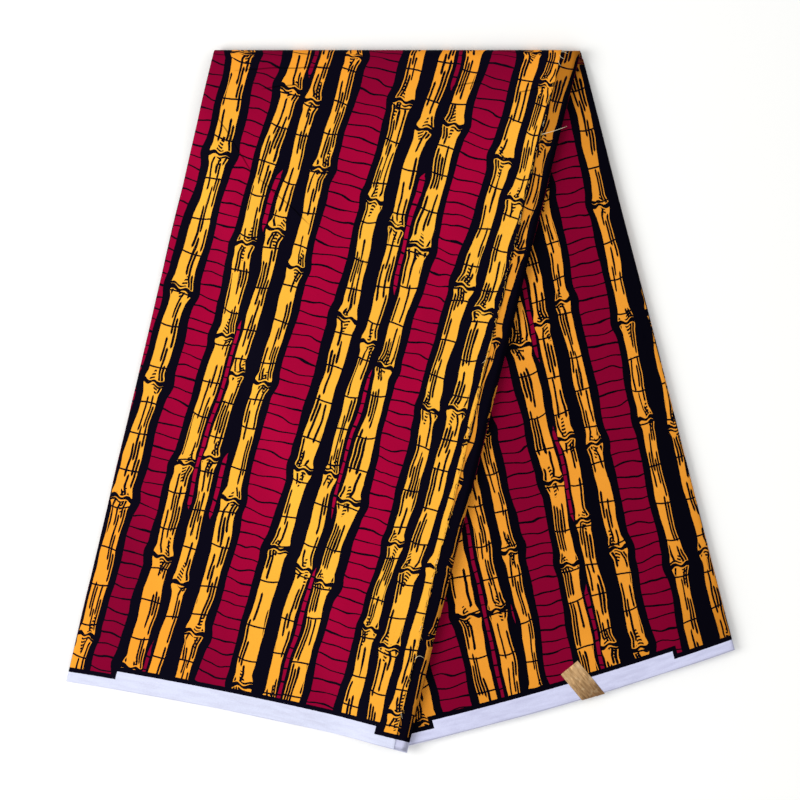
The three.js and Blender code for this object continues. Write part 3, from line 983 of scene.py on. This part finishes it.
# Flat label points are split into a part along the hem and a part past it. The part past it follows
# a quarter circle and then goes straight down. Crumpling moves the points along the surface's normal.
def makeFoil(material):
    sizes = foilSizes
    leftX, leftY = legPlan(legs["back"], 0, 1)
    rightX, rightY = legPlan(legs["back"], 1, 1)
    share = (sizes["topX"] - leftX) / (rightX - leftX)
    hemPoint = np.array(legPlan(legs["back"], share, 1))
    along = np.array(legPlan(legs["back"], share + 0.05, 1)) - hemPoint
    along = along / np.linalg.norm(along)
    past = np.array([along[1], -along[0]])
    turn = np.radians(sizes["angle"])
    longWay = np.array([np.cos(turn), np.sin(turn)])
    wideWay = np.array([longWay[1], -longWay[0]])
    s = np.linspace(0, 1, sizes["rows"])[:, None, None]
    t = np.linspace(-0.5, 0.5, sizes["columns"])[None, :, None]
    flat = np.array([sizes["topX"], sizes["topY"]]) - hemPoint
    flat = flat + longWay * s * sizes["length"] + wideWay * t * sizes["width"]
    bendAt = sizes["hemClearance"] - sizes["bendRadius"]
    over = flat @ past - bendAt
    quarter = np.pi / 2 * sizes["bendRadius"]
    angle = np.clip(over, 0, quarter) / sizes["bendRadius"]
    place = (s * 40)[..., 0], (t * 20)[..., 0]
    crumple = 0.16 * unevenness(*place, 9, 90) + 0.10 * unevenness(*place, 4, 91)
    fromCorner = (s[..., 0] * sizes["length"]) ** 2 + ((t[..., 0] + 0.5) * sizes["width"]) ** 2
    corner = 0.5 * np.exp(-fromCorner / 4**2)

    def layer(depth):
        radius = sizes["bendRadius"] + depth * sizes["thickness"] + np.maximum(crumple, -0.1) + corner
        out = bendAt + np.minimum(over, 0) + radius * np.sin(angle)
        drop = sizes["bendRadius"] - radius * np.cos(angle) + np.maximum(over - quarter, 0)
        plan = hemPoint + (flat @ along)[..., None] * along + out[..., None] * past
        relief = backRelief(plan[..., 0], plan[..., 1]) * (over < 0)
        top = stack["legHeight"] + sizes["lift"] + np.maximum(relief, backPlySizes["deepest"])
        return np.concatenate([plan, (top - drop)[..., None]], -1)

    maps = {"label": together((t * sizes["width"])[..., 0], (s * sizes["length"])[..., 0])}
    return closedSheet("foil_strip", layer(0), layer(1), maps, [], material)


# Gold foil on paper, rolled and brushed: a warm metal whose streaks run along the strip. It is painted darker
# and browner where the strip turns down past the hem: painted shade on the part that faces away from the
# light.
def goldFoil():
    material, put, shader = newMaterial("gold foil on paper, brushed")
    place = put("UVMap", uv_map="label")
    streakPlace = put("Mapping", {"Vector": place, "Scale": (0.7, 0.08, 1.0)})
    streak = put("TexNoise", {"Vector": streakPlace, "Scale": 1.0, "Detail": 4.0, "Distortion": 0.4})
    worn = put("TexNoise", {"Vector": place, "Scale": 0.13, "Detail": 4.0})
    turned = put("MapRange", put("SeparateXYZ", place).outputs[1], 9.0, 31.0)
    # painted shade: the part turned down past the hem gets darker colours
    pale, dark = [put("Mix", {0: turned, 6: hexColour(lying), 7: hexColour(turnedDownShaded)}, **asColour)
                  for lying, turnedDownShaded in (("#D9B280", "#9A744C"), ("#A27B4E", "#5E4428"))]
    tone = put("MapRange", streak, 0.30, 0.68)
    colour = put("Mix", {0: tone, 6: dark, 7: pale}, **asColour)
    faded = put("MapRange", worn, 0.52, 0.70, 0.0, 0.55)
    colour = put("Mix", {0: faded, 6: colour, 7: hexColour("#DCC49C")}, **asColour)
    rough = put("MapRange", worn, 0.3, 0.7, 0.34, 0.58)
    bump = put("Bump", {"Strength": 0.5, "Distance": 0.0001, "Height": streak})
    feed(shader, {"Base Color": colour, "Normal": bump, "Roughness": rough, "Metallic": 0.7})
    return material


print("foil label")
foilStrip = makeFoil(goldFoil())

for piece, node, slot in (
        (frontCloth, "top_ply", "printed_cotton"), (backCloth, "back_ply", "printed_cotton"),
        (foldedPlies, "folded_layers", "layered_cotton"), (rawYarns, "top_ply", "printed_cotton"),
        (foilStrip, "foil_label", "gold_foil")):
    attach(piece, "root")
    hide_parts(node)


# The surface that it lies on, the light and the camera

studio = {
    "floorSize": 6.0, "floorColour": "#FAFAF8",
    "keyPower": 24.0, "keySize": 1.2, "keyPlace": (-1.4, -0.15, 1.4), "bright": 0.90, "dim": 0.64,
    "lens": 135, "sensor": 36, "viewWidth": 690.4, "aimY": 0.9, "aimZ": 8.0,
}


def layTable():
    side = studio["floorSize"] / 2
    corners = [(-side, -side, 0), (side, -side, 0), (side, side, 0), (-side, side, 0)]
    mesh = bpy.data.meshes.new("floor")
    mesh.from_pydata(corners, [], [(0, 1, 2, 3)])
    material, _, shader = newMaterial("pale table")
    feed(shader, {"Base Color": hexColour(studio["floorColour"]), "Roughness": 0.9,
                  "Specular IOR Level": 0.1})
    mesh.materials.append(material)
    addObject("floor", mesh)


# A room that is brighter on the hems' side than beyond the fold, and one large square lamp
def lightRoom():
    world = bpy.data.worlds.new("soft room")
    world.use_nodes = True
    put = partial(addNode, world.node_tree)
    way = put("SeparateXYZ", put("TexCoord").outputs["Generated"])
    glow = put("MapRange", way.outputs[1], -1.0, 1.0, studio["bright"], studio["dim"])
    feed(world.node_tree.nodes["Background"], {"Strength": glow, "Color": (1, 1, 1, 1)})
    bpy.context.scene.world = world

    light = bpy.data.lights.new("softbox", "AREA")
    light.shape = "SQUARE"
    light.size = studio["keySize"]
    light.energy = studio["keyPower"]
    lamp = addObject("softbox", light)
    lamp.location = studio["keyPlace"]
    lamp.rotation_euler = (-lamp.location).to_track_quat("-Z", "Y").to_euler()


# The camera looks straight down from where its lens takes in the view's width at the cloth
def placeCamera():
    camera = addObject("camera", bpy.data.cameras.new("camera"))
    camera.data.lens = studio["lens"]
    camera.data.sensor_width = studio["sensor"]
    height = studio["viewWidth"] / studio["sensor"] * studio["lens"] + studio["aimZ"]
    camera.location = (0, studio["aimY"] * mm, height * mm)
    bpy.context.scene.camera = camera
    bpy.context.scene.view_settings.view_transform = "Standard"


print("table, light and camera")
layTable()
lightRoom()
placeCamera()
